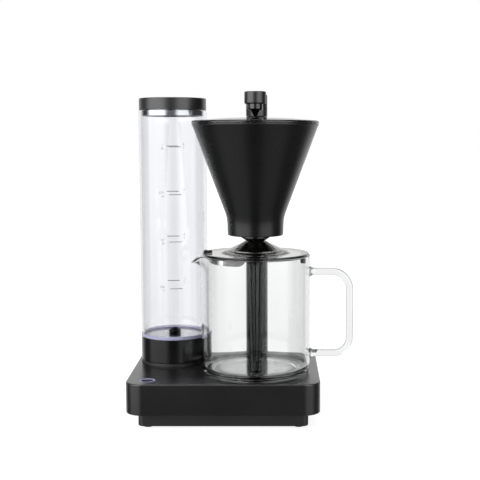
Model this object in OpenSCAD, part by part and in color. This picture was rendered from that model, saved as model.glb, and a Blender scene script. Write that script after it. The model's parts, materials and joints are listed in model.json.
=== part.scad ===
// Upright filter coffee brewer with a clear water tank, a cone filter holder on a column and a glass jug.
// Millimetres. +X is to the right, +Y to the back, +Z up. Inside the modules x = 0 is the middle of the base,
// y = 0 its front face and z = 0 the surface that it stands on.

/* [Base] */
// Width of the base
base_w = 220; // [210:1:240]
// Depth of the base
base_d = 170; // [170:1:190]
// Height of the base's top face
base_top = 53.5; // [52:0.5:56]
// Height of the outer shell
shell_h = 35.5; // [34:0.5:37]
// Radius of the base's upright corners
corner_r = 20; // [16:1:24]
// How far the plinth steps back under the shell
plinth_inset = 13.5; // [12:0.5:15]
// Wall of the mouldings
wall = 2.5; // [2:0.1:3]

/* [Brewing axis] */
// Distance of jug, filter holder and spout from the middle of the base
axis_x = 36; // [32:1:40]
// Distance of that axis from the front face
axis_y = 67.5; // [66:0.5:69]
// Distance of the column's axis from the front face
column_y = 154.5; // [154.5:0.5:156]

/* [Water tank] */
// Distance of the tank's axis from the middle of the base, to the left
tank_x = 65; // [62:1:67]
// Distance of the tank's axis from the front face
tank_y = 127.5; // [126:0.5:128.5]
// Outer radius of the clear tube
tank_r = 41; // [40:0.5:42]
// Wall of the clear tube
tank_wall = 3.4; // [3:0.1:3.6]
// Height of the clear tube's rim above the base
tank_rim = 306.5; // [290:0.5:320]
// Height of the tank's inner floor above the base
tank_floor = 33.5; // [33:0.5:35]

/* [Filter holder] */
// Outer radius at the rim
funnel_rim_r = 73; // [70:0.5:73]
// Height of the rim above the base
funnel_rim = 289; // [286:0.5:290]
// Outer radius where the cone starts
funnel_waist_r = 36; // [35:0.5:37]
// Height of the collar's lower edge above the base
collar_bottom = 161; // [161:0.5:162]

/* [Jug] */
// Outer radius of the glass
jug_r = 63.5; // [62:0.5:65]
// Height of the glass
jug_h = 137.4; // [136:0.1:137.4]
// Wall of the glass
glass = 2.4; // [2:0.1:3]
// Reach of the handle from the jug's axis
handle_reach = 114; // [110:1:118]
// Radius of the handle's glass rod
handle_rod_r = 4.2; // [3.8:0.1:4.5]

/* [Spray arm] */
// Radius of the column's head and of the arm's hub
head_r = 13.2; // [12.5:0.1:13.2]
// Radius of the cap over the spout
cap_r = 12.6; // [12:0.1:13]

/* [Power button] */
// Distance of the button from the middle of the base, to the left
button_x = 86.3; // [84:0.1:88]
// Distance of the button from the front face
button_y = 21.5; // [21:0.1:23]
// Radius of the button
button_r = 7; // [6.5:0.1:7.2]
// Travel of the button
button_travel = 1.5; // [1:0.1:1.5]

/* [Hidden] */
$fn = 96;

gap = 0.3;                                  // between pieces that move past each other
slack = 0.05;                               // radial play of screws, spigots and hoses
gland_out = 4;                              // how far the cord gland stands out at the back
filter_lid_r = funnel_rim_r + 0.5;
// The origin is under the middle of the whole object's box, handle and filter holder included.
origin_x = (axis_x + handle_reach - base_w / 2) / 2;
origin_y = (base_d + gland_out + axis_y - filter_lid_r) / 2;

shell_bottom = base_top - shell_h;
shell_roof = base_top - 3;                  // underside of the base's top face
pan_bottom = 2;
pan_floor = 2.5;
foot_r = 8;
foot_x = base_w / 2 - 24.5;
foot_y = 23.5;
post_x = 80;                                // screw posts of the base
post_y = 8;
pilot_r = 1.2;
thread_r = pilot_r - slack;

plate_r = 60.8;
plate_top = base_top + 0.6;
plate_under = plate_top - 1.2;
plate_boss_r = 50;
plate_boss_under = plate_under - 2.4;
heater_r = 38;                              // half the distance between the heater's legs
heater_leg = 20;
water_z = 36;                               // height of the water passage through the base
water_tube_r = 5.5;
rod_z = plate_boss_under - 4.6;             // heating rod, against the plate
rod_r = 4.5;
strap_y = 8;                                // from the brewing axis
strap_z = water_z - water_tube_r - 1.6;
strap_hole_x = 22;
hose_r = 5.2;
hose_bore_r = 3.9;
inlet_bend_r = 15;
outlet_bend_r = 12;

board = [48, 50, 1.6];
board_x = -103;
board_y = 14;
board_z = 36.4;
board_hole_1 = [-60, 19];
board_hole_2 = [-98, 59];
switch_top = board_z + board[2] + 4.6;
button_top = base_top - 0.6;
button_stem_bottom = switch_top + button_travel + 0.2;
button_under = base_top - 4.5;

dock_h = 3;
dock_cup_r = 13;
pin_top = base_top + 13;
nipple_r = 9;
tank_base_r = tank_r - 0.2;
tank_base_bottom = base_top + dock_h + gap;
tank_base_top = base_top + tank_floor - 1.5;
tank_bore_r = tank_r - tank_wall;
floor_z = base_top + tank_floor;
slab_z = floor_z - 3.5;
tank_spigot_r = tank_bore_r + 0.5;
rim_z = base_top + tank_rim;
stem_r = 2;
stem_bottom = pin_top + gap;
guide_z = floor_z - 11;
clip_top = stem_bottom + 2.4;
tank_lid_r = tank_r - 0.65;
lid_under = rim_z + gap;
lid_h = 13.7;
plug_r = tank_bore_r - 0.4;
plug_h = 8;

funnel_wall = 2.2;
collar_z = base_top + collar_bottom;
waist_z = collar_z + 29;
funnel_rim_z = base_top + funnel_rim;
neck_r = 13.2;                              // bore of the holder that takes the drip housing
shoe_w = 24;
shoe_z = collar_z + 11;
shoe_h = 14;
shoe_front = 34;                            // from the brewing axis
shoe_back = 60;
tongue = [14, 6];
drip_bottom = collar_z - 7.3;
drip_top = collar_z + 14.5;
drip_bore_r = 7;
plunger_stem_r = 3;
plunger_foot_h = 2.3;
guide_plate = 3;

jug_bottom = plate_top + gap;
jug_rim = jug_bottom + jug_h;
jug_bore_r = jug_r - glass;
jug_edge_r = 9;
handle_top_z = base_top + 118.9;
handle_low_z = base_top + 21;
handle_top_bend = 21;
handle_low_bend = 18;
jug_lid_r = 61.8;
jug_lid_z = jug_rim + gap;
jug_lid_h = 1.8;
cone_top = base_top + 153.4;
tube_bottom = base_top + 11.4;
tube_top_r = 10.7;
tube_end_r = 5.6;
tube_flutes = 8;
lid_floor = jug_lid_z + jug_lid_h;

tube_r = 10;                                // column tube
sleeve_r = 14;
foot_collar_top = base_top + 23.3;
sleeve_top = base_top + 138;
head_z = base_top + 298.8;
head_top = base_top + 312.2;
pivot_r = 6;
arm_z = head_top + gap;
arm_top = base_top + 326;
cap_bottom = base_top + 311.8;
nozzle_tip = base_top + 298.2;
neck_bottom = base_top + 305;

module brewer() { translate([-origin_x, -origin_y, 0]) children(); }
module on_axis() { translate([axis_x, axis_y, 0]) children(); }
module at_column() { translate([axis_x, column_y, 0]) children(); }
module at_tank() { translate([-tank_x, tank_y, 0]) children(); }
module at_button() { translate([-button_x, button_y, 0]) children(); }

// Upright cylinder between two heights
module post(r, z0, z1) { translate([0, 0, z0]) cylinder(r = r, h = z1 - z0); }
// Upright ring between two heights
module ring(r_out, r_in, z0, z1) {
    rotate_extrude() translate([r_in, z0]) square([r_out - r_in, z1 - z0]);
}
// Box from a corner
module block(x, y, z, size) { translate([x, y, z]) cube(size); }
// Cylinder along X between two places
module along_x(r, x0, x1) { translate([x0, 0, 0]) rotate([0, 90, 0]) cylinder(r = r, h = x1 - x0); }
// Cylinder along Y between two places
module along_y(r, y0, y1) { translate([0, y0, 0]) rotate([-90, 0, 0]) cylinder(r = r, h = y1 - y0); }
// Outline of the base, set back by the given amount
module base_outline(inset, r) {
    w = base_w - 2 * inset;
    d = base_d - 2 * inset;
    translate([-w / 2 + r, inset]) square([w - 2 * r, d]);
    translate([-w / 2, inset + r]) square([w, d - 2 * r]);
    for (x = [-1, 1], y = [inset + r, inset + d - r]) translate([x * (w / 2 - r), y]) circle(r);
}
// Upright slab with the base's outline
module slab(inset, r, z0, z1) {
    translate([0, 0, z0]) linear_extrude(z1 - z0) base_outline(inset, r);
}
// The four screw posts' places
module at_posts() {
    for (x = [-post_x, post_x], y = [post_y, base_d - post_y]) translate([x, y, 0]) children();
}
// Pan-head screw, head down, between the underside of its head and its tip
module screw(head_z0, seat, tip, shank_r, head_r) {
    post(head_r, head_z0, seat);
    post(shank_r, seat, tip);
}
// Helical wire between two heights
function helix_ring(r, wire, a, z, sides) =
    [for (j = [0:sides - 1]) let (b = 360 * j / sides, q = r + wire * cos(b))
        [q * cos(a), q * sin(a), z + wire * sin(b)]];
module coil(r, wire, z0, z1, turns, sides = 8, steps = 16) {
    n = turns * steps;
    points = [for (i = [0:n]) each
        helix_ring(r, wire, 360 * turns * i / n, z0 + wire + (z1 - z0 - 2 * wire) * i / n, sides)];
    skin = [for (i = [0:n - 1], j = [0:sides - 1]) let (k = (j + 1) % sides)
        [i * sides + j, i * sides + k, (i + 1) * sides + k, (i + 1) * sides + j]];
    start = [for (j = [sides - 1:-1:0]) j];
    end = [for (j = [0:sides - 1]) n * sides + j];
    polyhedron(points, concat(skin, [start, end]), convexity = 6);
}

// ---- base ----

module base_shell() {
    color("#2b2b2d") brewer() difference() {
        union() {
            difference() {
                slab(0, corner_r, shell_bottom, base_top);
                slab(wall, corner_r - wall, shell_bottom - 1, shell_roof);
            }
            at_posts() post(3.5, shell_bottom + 2, shell_roof);
            for (p = [board_hole_1, board_hole_2]) translate(p) post(3, board_z + board[2], shell_roof);
        }
        at_posts() post(pilot_r, shell_bottom, shell_bottom + 16);
        for (p = [board_hole_1, board_hole_2]) translate(p) post(pilot_r, board_z, shell_roof - 2);
        on_axis() {
            post(plate_r - 5.8, shell_roof - 1, base_top + 1);
            post(plate_r + 0.4, plate_under - 1, base_top + 1);
        }
        at_tank() post(dock_cup_r + 3 + slack, shell_roof - 1, base_top + 1);
        at_column() post(tube_r + slack, shell_roof - 1, base_top + 1);
        at_button() post(button_r + 2.3 + slack, shell_roof - 1, base_top + 1);
        translate([0, 0, 32]) along_y(6.4 + slack, base_d - wall - 1, base_d + 1);
    }
}

module bottom_pan() {
    inner_r = 8;
    color("#242426") brewer() difference() {
        union() {
            slab(plinth_inset, inner_r, pan_bottom, shell_bottom + 2);
            slab(wall + slack, corner_r - wall - slack, shell_bottom, shell_bottom + 2);
        }
        slab(plinth_inset + wall, inner_r - wall, pan_bottom + pan_floor, shell_bottom + 3);
        at_posts() post(pilot_r + 0.3, shell_bottom - 1, shell_bottom + 3);
        for (x = [-foot_x, foot_x], y = [foot_y, base_d - foot_y])
            translate([x, y, 0]) post(foot_r + slack, pan_bottom - 1, pan_bottom + 1.5);
        for (i = [-4:4]) block(axis_x + i * 9 - 2, axis_y - 25, pan_bottom - 1, [4, 50, pan_floor + 2]);
    }
}

module feet() {
    color("#1c1c1c") brewer() for (x = [-foot_x, foot_x], y = [foot_y, base_d - foot_y])
        translate([x, y, 0]) rotate_extrude()
            polygon([[0, 0], [foot_r - 3, 0], [foot_r - 0.8, 1], [foot_r, 1.9], [foot_r, 3.4], [0, 3.4]]);
}

module pan_screws() {
    color("#8a8d90") brewer() at_posts() screw(shell_bottom - 1.8, shell_bottom, shell_bottom + 14, thread_r, 2.8);
}

module warming_plate() {
    color("#1e1e20") brewer() on_axis() difference() {
        union() {
            post(plate_r, plate_under, plate_top);
            post(plate_boss_r, plate_boss_under, plate_under);
            for (x = [-strap_hole_x, strap_hole_x]) translate([x, strap_y, 0])
                post(4, plate_boss_under - 6, plate_boss_under);
        }
        ring(plate_boss_r - 14, 6, plate_top - 0.4, plate_top + 1);
        for (x = [-strap_hole_x, strap_hole_x]) translate([x, strap_y, 0])
            post(1.9 + slack, plate_boss_under - 7, plate_boss_under + 0.5);
    }
}

module plate_seal() {
    color("#5b5b5e") brewer() on_axis() ring(plate_r + 0.3, plate_r - 5.8, plate_under - 1, plate_under);
}

// Section of the heater: heating rod above, water passage below, a web between
module heater_section() {
    translate([heater_r, rod_z]) circle(rod_r);
    translate([heater_r, water_z]) circle(water_tube_r);
    translate([heater_r - 2, water_z]) square([4, rod_z - water_z]);
}

module flow_heater() {
    color("#b9bbbf") brewer() on_axis() difference() {
        union() {
            rotate([0, 0, 180]) rotate_extrude(angle = 180) heater_section();
            for (x = [-heater_r, heater_r]) {
                translate([x, 0, rod_z]) along_y(rod_r, 0, heater_leg);
                translate([x, 0, water_z]) along_y(water_tube_r, 0, heater_leg);
                translate([x, 0, water_z]) along_y(hose_bore_r - slack, heater_leg, heater_leg + 12);
                block(x - 2, 0, water_z, [4, heater_leg, rod_z - water_z]);
            }
        }
        rotate([0, 0, 180]) rotate_extrude(angle = 180) translate([heater_r, water_z]) circle(2.9);
        for (x = [-heater_r, heater_r]) translate([x, 0, water_z]) along_y(2.9, 0, heater_leg + 13);
    }
}

module heater_strap() {
    reach = heater_r + 9;
    color("#9a9ca0") brewer() on_axis() difference() {
        block(-reach, strap_y - 6, strap_z, [2 * reach, 12, 1.5]);
        for (x = [-strap_hole_x, strap_hole_x]) translate([x, strap_y, 0]) post(2.1, strap_z - 1, strap_z + 3);
    }
}

module strap_screws() {
    color("#8a8d90") brewer() on_axis() for (x = [-strap_hole_x, strap_hole_x]) translate([x, strap_y, 0])
        screw(strap_z - 2.4, strap_z, plate_boss_under, 1.9, 3.6);
}

module thermostat() {
    z0 = strap_z + 1.5;
    color("#c9b98a") brewer() on_axis() translate([0, strap_y, 0]) {
        post(8, z0, z0 + 5);
        post(5.5, z0 + 5, z0 + 7.5);
        for (x = [-1, 1]) block(x * 4.5 - 2.4, -0.4, z0 + 7.5, [4.8, 0.8, 6]);
    }
}

module thermal_fuse() {
    z0 = strap_z - 2.6;
    color("#d8d8d4") brewer() on_axis() translate([0, strap_y, z0]) {
        along_x(2.5, -8, 8);
        along_x(0.5, -15, 15);
    }
}

module dock() {
    color("#222224") brewer() at_tank() difference() {
        union() {
            rotate_extrude() polygon([[0, base_top], [tank_base_r, base_top], [tank_base_r, base_top + dock_h - 0.8],
                [tank_base_r - 0.8, base_top + dock_h], [0, base_top + dock_h]]);
            post(dock_cup_r + 3, shell_roof - 1, base_top);
        }
        ring(dock_cup_r, stem_r, shell_roof + 1, base_top + dock_h + 1);
        post(stem_r, base_top, base_top + dock_h + 1);
        translate([7.5, 0, 0]) post(2.5, shell_roof - 2, base_top);
    }
    // pin that opens the tank's valve
    color("#222224") brewer() at_tank() post(1.8, shell_roof + 0.5, pin_top);
}

module dock_seal() {
    color("#8e8e90") brewer() at_tank() ring(dock_cup_r, nipple_r + gap, shell_roof + 1, base_top + dock_h);
}

module dock_elbow() {
    color("#3a3a3c") brewer() at_tank() difference() {
        union() {
            translate([7.5, 0, 0]) {
                post(6.5, shell_roof - 3, shell_roof - 1);
                post(4.2, water_z, shell_roof - 3);
                translate([0, 0, water_z]) sphere(4.2);
                translate([0, 0, water_z]) along_x(4, 0, 12);
            }
        }
        translate([7.5, 0, 0]) {
            post(2.5, water_z, shell_roof);
            translate([0, 0, water_z]) along_x(2.5, 0, 13);
        }
    }
}

// One-way valve of the duckbill kind, pushed onto the elbow
module check_valve() {
    x0 = -tank_x + 14;
    color("#d9d9d6") brewer() translate([0, tank_y, water_z]) difference() {
        union() {
            along_x(6.5, x0, x0 + 13);
            along_x(hose_bore_r - slack, x0 + 12, x0 + 22);
        }
        along_x(4 + slack, x0 - 1, x0 + 6);
        along_x(2.5, x0 + 5, x0 + 23);
    }
}

// Quarter bend of hose about an upright axis
module hose_bend(r, start, outer) {
    rotate([0, 0, start]) rotate_extrude(angle = 90) translate([r, 0]) circle(outer ? hose_r : hose_bore_r);
}
module inlet_run(outer) {
    q = outer ? hose_r : hose_bore_r;
    e = outer ? 0 : 1;
    bend_x = axis_x - heater_r - inlet_bend_r;
    bend_y = tank_y - inlet_bend_r;
    translate([0, 0, water_z]) {
        translate([bend_x + inlet_bend_r, 0, 0]) along_y(q, axis_y + heater_leg + 0.5 - e, bend_y);
        translate([bend_x, bend_y, 0]) hose_bend(inlet_bend_r, 0, outer);
        translate([0, tank_y, 0]) along_x(q, -tank_x + 27.5 - e, bend_x);
    }
}
module outlet_run(outer) {
    q = outer ? hose_r : hose_bore_r;
    e = outer ? 0 : 1;
    bend_x = axis_x + heater_r - outlet_bend_r;
    bend_y = column_y - outlet_bend_r;
    translate([0, 0, water_z]) {
        translate([bend_x + outlet_bend_r, 0, 0]) along_y(q, axis_y + heater_leg + 0.5 - e, bend_y);
        translate([bend_x, bend_y, 0]) hose_bend(outlet_bend_r, 0, outer);
        translate([0, column_y, 0]) along_x(q, axis_x + 6.5 - e, bend_x);
    }
}
module inlet_hose() { color("#e6e4dc") brewer() difference() { inlet_run(true); inlet_run(false); } }
module outlet_hose() { color("#e6e4dc") brewer() difference() { outlet_run(true); outlet_run(false); } }

module clip_y(x, y) {
    translate([x, 0, water_z]) difference() {
        along_y(hose_r + 1.2, y, y + 5);
        along_y(hose_r + slack, y - 1, y + 6);
    }
}
module clip_x(x, y) {
    translate([0, y, water_z]) difference() {
        along_x(hose_r + 1.2, x, x + 5);
        along_x(hose_r + slack, x - 1, x + 6);
    }
}
module hose_clips() {
    color("#8a8d90") brewer() {
        clip_y(axis_x - heater_r, axis_y + heater_leg + 3);
        clip_y(axis_x + heater_r, axis_y + heater_leg + 3);
        clip_x(-tank_x + 29, tank_y);
        clip_x(axis_x + 8, column_y);
    }
}

module control_board() {
    color("#2f6b3c") brewer() difference() {
        union() {
            block(board_x, board_y, board_z, board);
            // relay, capacitors and chip on the underside
            block(board_x + 26, board_y + 26, board_z - 15, [18, 15, 15]);
            for (i = [0:1]) translate([board_x + 10 + 9 * i, board_y + 34, 0]) post(3.5, board_z - 10, board_z);
            block(board_x + 18, board_y + 14, board_z - 1.6, [10, 6, 1.6]);
        }
        for (p = [board_hole_1, board_hole_2]) translate(p) post(1.4, board_z - 1, board_z + 3);
    }
}

module board_screws() {
    color("#8a8d90") brewer() for (p = [board_hole_1, board_hole_2]) translate(p)
        screw(board_z - 1.8, board_z, board_z + 9, thread_r, 2.5);
}

module button_switch() {
    z0 = board_z + board[2];
    color("#3b3b3d") brewer() at_button() {
        block(-3, -3, z0, [6, 6, 4]);
        post(1.7, z0 + 4, switch_top);
    }
}

module led_ring() {
    color("#dfe8ff") brewer() at_button() rotate_extrude() polygon([
        [button_r + gap, base_top - 7], [button_r + 4, base_top - 7], [button_r + 4, shell_roof],
        [button_r + 2.3, shell_roof], [button_r + 2.3, base_top], [button_r + gap, base_top]]);
}

module terminal_block() {
    x0 = 10;
    y0 = base_d - plinth_inset - 22;
    z0 = pan_bottom + pan_floor;
    color("#d8d6cc") brewer() difference() {
        block(x0, y0, z0, [30, 16, 14]);
        for (i = [0:2]) translate([x0 + 5 + 10 * i, 0, z0 + 7]) along_y(2, y0 - 1, y0 + 17);
    }
}

module cord_gland() {
    color("#1b1b1b") brewer() translate([0, 0, 32]) difference() {
        union() {
            along_y(9, base_d, base_d + gland_out);
            along_y(6.4, base_d - 10, base_d);
            along_y(8.5, base_d - wall - 3, base_d - wall);
        }
        along_y(3.6, base_d - 11, base_d + gland_out + 1);
    }
}

// ---- column ----

module column_foot() {
    color("#202022") brewer() at_column() rotate_extrude() polygon([
        [tube_r + slack, base_top], [sleeve_r, base_top], [sleeve_r, foot_collar_top - 0.6],
        [sleeve_r - 0.6, foot_collar_top], [tube_r + slack, foot_collar_top]]);
}

module column_sleeve() {
    color("#262628") brewer() at_column() rotate_extrude() polygon([
        [tube_r + slack, foot_collar_top], [sleeve_r - 0.6, foot_collar_top], [sleeve_r, foot_collar_top + 0.6],
        [sleeve_r, sleeve_top - 3], [sleeve_r - 3, sleeve_top], [tube_r + slack, sleeve_top]]);
}

module column_tube() {
    color("#262628") brewer() at_column() ring(tube_r, tube_r - 1.5, shell_roof - 7, head_z);
}

module column_nut() {
    color("#8a8d90") brewer() at_column() difference() {
        translate([0, 0, shell_roof - 6]) cylinder(r = 15, h = 6, $fn = 6);
        post(tube_r + slack, shell_roof - 7, shell_roof + 1);
    }
}

module riser_pipe() {
    color("#c9cbcf") brewer() at_column() difference() {
        union() {
            post(4, water_z, head_z + 0.9);
            translate([0, 0, water_z]) sphere(4);
            translate([0, 0, water_z]) along_x(hose_bore_r - slack, 0, 16);
        }
        post(2.8, water_z, head_z + 2);
        translate([0, 0, water_z]) along_x(2.8, 0, 17);
    }
}

module column_head() {
    color("#202022") brewer() at_column() rotate_extrude() polygon([
        [4 + slack, head_z - 12], [tube_r - 1.5 - slack, head_z - 12], [tube_r - 1.5 - slack, head_z],
        [head_r - 1.2, head_z], [head_r, head_z + 1.2], [head_r, head_top], [8 + slack, head_top],
        [8 + slack, head_z + 1], [4 + slack, head_z + 1]]);
}

module head_bush() {
    color("#e8e6df") brewer() at_column() ring(8, pivot_r + 0.06, head_z + 1, head_top - 0.2);
}

module holder_bracket() {
    ring_z = shoe_z - shoe_h / 2;
    color("#202022") brewer() difference() {
        union() {
            at_column() post(15.5, ring_z, ring_z + shoe_h);
            block(axis_x - tongue[0] / 2, axis_y + shoe_front + 2, shoe_z - tongue[1] / 2,
                [tongue[0], column_y - axis_y - shoe_front - 2, tongue[1]]);
            block(axis_x - 9, column_y + 10, ring_z, [18, 9.5, shoe_h]);
        }
        at_column() post(tube_r + slack, ring_z - 1, ring_z + shoe_h + 1);
        block(axis_x - 1, column_y + 5, ring_z - 1, [2, 20, shoe_h + 2]);
        for (z = [-3.5, 3.5]) translate([0, column_y + 16, shoe_z + z]) along_x(1.6, axis_x - 10, axis_x + 10);
    }
}

module bracket_screws() {
    color("#8a8d90") brewer() for (z = [-3.5, 3.5]) translate([0, column_y + 16, shoe_z + z]) {
        along_x(1.5, axis_x - 9, axis_x + 9);
        along_x(2.8, axis_x + 9, axis_x + 11);
        along_x(2.8, axis_x - 11, axis_x - 9);
    }
}

// ---- power button ----

module power_button() {
    color("#17181b") brewer() at_button() difference() {
        union() {
            post(button_r, button_under, button_top);
            post(3, button_stem_bottom, button_under);
        }
        translate([0, 0, button_top + 38.7]) sphere(39.2);
    }
}

module button_spring() {
    color("#b0b2b5") brewer() at_button() coil(5.2, 0.4, board_z + board[2] + 0.1, button_under - 0.1, 5);
}

// ---- spray arm ----

module spray_arm() {
    bar_w = 18;
    reach = column_y - axis_y;
    color("#222224") brewer() difference() {
        union() {
            at_column() rotate_extrude() polygon([[0, arm_z], [head_r, arm_z], [head_r, arm_top - 1.5],
                [head_r - 1.5, arm_top], [0, arm_top]]);
            at_column() post(pivot_r, head_z + 2, arm_z);
            block(axis_x - bar_w / 2, axis_y, arm_z + 1, [bar_w, reach, 11]);
            on_axis() post(10, cap_bottom + 0.5, arm_z + 12);
        }
        // water passage
        at_column() post(3, head_z, arm_z + 8);
        translate([axis_x, 0, arm_z + 6]) along_y(3, axis_y, column_y);
        on_axis() post(3, cap_bottom, arm_z + 6);
        // groove of the pivot's seal
        at_column() ring(pivot_r + 1, pivot_r - 1.2, head_z + 5, head_z + 7);
    }
}

module arm_cover() {
    color("#2c2c2e") brewer()
        block(axis_x - 7, axis_y + cap_r + 0.4, arm_z + 12, [14, column_y - axis_y - cap_r - head_r - 0.8, 1.2]);
}

module arm_seal() {
    color("#6a6a6c") brewer() at_column() ring(pivot_r - 0.1, pivot_r - 1.2, head_z + 5.1, head_z + 6.9);
}

module spout_cap() {
    color("#303134") brewer() difference() {
        on_axis() rotate_extrude() polygon([[10 + slack, cap_bottom + 1], [cap_r - 1, cap_bottom],
            [cap_r, cap_bottom + 1], [cap_r, arm_top - 1], [cap_r - 1, arm_top], [0, arm_top], [0, arm_z + 12],
            [10 + slack, arm_z + 12]]);
        block(axis_x - 9 - slack, axis_y, arm_z + 1 - slack, [18 + 2 * slack, 30, 11 + slack]);
    }
}

module spout() {
    color("#19191b") brewer() on_axis() difference() {
        rotate_extrude() polygon([[0, nozzle_tip], [1.6, nozzle_tip], [5.2, neck_bottom],
            for (a = [-60:15:0]) [8.6 * cos(a), neck_bottom + 4.2 + 4.8 * sin(a)],
            [8.6, cap_bottom + 0.5], [0, cap_bottom + 0.5]]);
        post(1, nozzle_tip - 1, cap_bottom + 1);
    }
}

// ---- water tank ----

module tank_tube() {
    color([0.9, 0.93, 0.97, 0.3]) brewer() at_tank() rotate_extrude() polygon([
        [6, guide_z - 2], [nipple_r - 1.5, guide_z - 2], [nipple_r - 1.5, base_top - 0.5],
        [nipple_r, base_top - 0.5], [nipple_r, slab_z], [tank_spigot_r, slab_z], [tank_spigot_r, tank_base_top],
        [tank_r, tank_base_top], [tank_r, rim_z - 0.5], [tank_r - 0.5, rim_z], [tank_bore_r + 0.5, rim_z],
        [tank_bore_r, rim_z - 0.5], [tank_bore_r, floor_z + 2], [tank_bore_r - 0.6, floor_z + 0.6],
        [tank_bore_r - 2, floor_z], [6, floor_z]]);
}

module tank_base() {
    color("#232325") brewer() at_tank() rotate_extrude() polygon([
        [nipple_r + 0.1, tank_base_bottom + 3], [tank_base_r - wall, tank_base_bottom + 3],
        [tank_base_r - wall, tank_base_bottom], [tank_base_r - 0.6, tank_base_bottom],
        [tank_base_r, tank_base_bottom + 0.6], [tank_base_r, tank_base_top], [tank_spigot_r + slack, tank_base_top],
        [tank_spigot_r + slack, tank_base_bottom + 5], [nipple_r + 0.1, tank_base_bottom + 5]]);
}

module valve_guide() {
    color("#3a3a3c") brewer() at_tank() difference() {
        post(6 - slack, guide_z, guide_z + 4);
        post(stem_r + 0.06, guide_z - 1, guide_z + 5);
        for (a = [0:90:270]) rotate([0, 0, a]) translate([4, 0, 0]) post(1.2, guide_z - 1, guide_z + 5);
    }
}

module valve_spring() {
    color("#b0b2b5") brewer() at_tank() coil(3.4, 0.35, clip_top + 0.1, guide_z - 0.1, 4);
}

module valve_head() {
    brim_z = floor_z + gap;
    color("#141416") brewer() at_tank() {
        post(stem_r, stem_bottom, brim_z + 1);
        post(4.4, clip_top - 1.2, clip_top);
        rotate_extrude() polygon([[0, brim_z], [7, brim_z], [7.2, brim_z + 0.8], [5, brim_z + 1.2],
            [5, brim_z + 1.8], [7.6, brim_z + 2.3], [7.8, brim_z + 2.9], [2.9, brim_z + 6.6], [2, brim_z + 7],
            [0, brim_z + 7]]);
    }
}

module tank_lid() {
    color("#1f1f21") brewer() at_tank() rotate_extrude() polygon([
        [0, lid_under + 3], [plug_r - 2.5, lid_under + 3], [plug_r - 2.5, lid_under], [plug_r + 0.8, lid_under],
        [plug_r + 0.8, lid_under + 0.8], [tank_lid_r - 0.6, lid_under + 0.8], [tank_lid_r - 0.6, lid_under],
        [tank_lid_r, lid_under + 0.5], [tank_lid_r, lid_under + lid_h - 1.5],
        [tank_lid_r - 0.45, lid_under + lid_h - 0.45], [tank_lid_r - 1.5, lid_under + lid_h],
        [0, lid_under + lid_h]]);
}

module tank_lid_plug() {
    color("#4a4c50") brewer() at_tank() rotate_extrude() polygon([
        [plug_r - 2.4, lid_under], [plug_r - 2.4, lid_under - plug_h + 2], [plug_r - 4, lid_under - plug_h],
        [plug_r - 0.8, lid_under - plug_h], [plug_r, lid_under - plug_h + 0.8], [plug_r, lid_under]]);
}

module tank_lid_seal() {
    color("#9a9a9c") brewer() at_tank() ring(tank_lid_r - 0.7, plug_r + 0.9, lid_under, lid_under + 0.8);
}

// ---- filter holder ----

module filter_funnel() {
    cone_top_r = funnel_rim_r - 0.8;
    cone_top = funnel_rim_z - 2.2;
    color("#1d1d1f") brewer() difference() {
        union() {
            on_axis() rotate_extrude() polygon([
                [30, collar_z], [32.2, collar_z], [32.6, collar_z + 8], [33.1, collar_z + 17.5],
                [33.9, collar_z + 22], [34.8, collar_z + 25.5], [funnel_waist_r, waist_z],
                [cone_top_r, cone_top], [funnel_rim_r, funnel_rim_z],
                [funnel_rim_r - funnel_wall, funnel_rim_z], [cone_top_r - funnel_wall, cone_top],
                [funnel_waist_r - funnel_wall, waist_z], [31.4, collar_z + 23], [neck_r, drip_top],
                [neck_r, collar_z + 2], [neck_r + 2, collar_z + 2], [neck_r + 2, drip_top - 2],
                [30.2, collar_z + 19.6], [30.5, collar_z + 17.5], [30.2, collar_z + 8]]);
            // shoe that slides over the bracket's tongue
            block(axis_x - shoe_w / 2, axis_y + 30.6, shoe_z - shoe_h / 2, [shoe_w, shoe_back - 30.6, shoe_h]);
        }
        block(axis_x - tongue[0] / 2 - gap, axis_y + shoe_front, shoe_z - tongue[1] / 2 - gap,
            [tongue[0] + 2 * gap, 40, tongue[1] + 2 * gap]);
    }
}

module drip_housing() {
    color("#161617") brewer() on_axis() difference() {
        rotate_extrude() polygon([[0, drip_bottom], [10, drip_bottom], [16.5, collar_z - 3], [16.5, collar_z],
            [neck_r - slack, collar_z], [neck_r - slack, drip_top], [0, drip_top]]);
        post(drip_bore_r, drip_bottom - 1, drip_top - guide_plate);
        post(plunger_stem_r + 0.06, drip_bottom, drip_top + 1);
        for (a = [0:60:300]) rotate([0, 0, a]) translate([5, 0, 0])
            post(1.3, drip_top - guide_plate - 1, drip_top + 1);
    }
}

module drip_spring() {
    color("#b0b2b5") brewer() on_axis()
        coil(4.6, 0.4, drip_bottom + plunger_foot_h + 0.1, drip_top - guide_plate - 0.1, 6);
}

module drip_plunger() {
    color("#2a2a2c") brewer() on_axis() {
        post(drip_bore_r - gap, drip_bottom, drip_bottom + plunger_foot_h);
        post(plunger_stem_r, drip_bottom + plunger_foot_h, drip_top + gap);
        post(8, drip_top + gap + 1, drip_top + gap + 2.4);
        post(plunger_stem_r, drip_top + gap, drip_top + gap + 1);
    }
}

module drip_seal() {
    color("#a03a2c") brewer() on_axis() ring(8, plunger_stem_r, drip_top + gap, drip_top + gap + 1);
}

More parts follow.
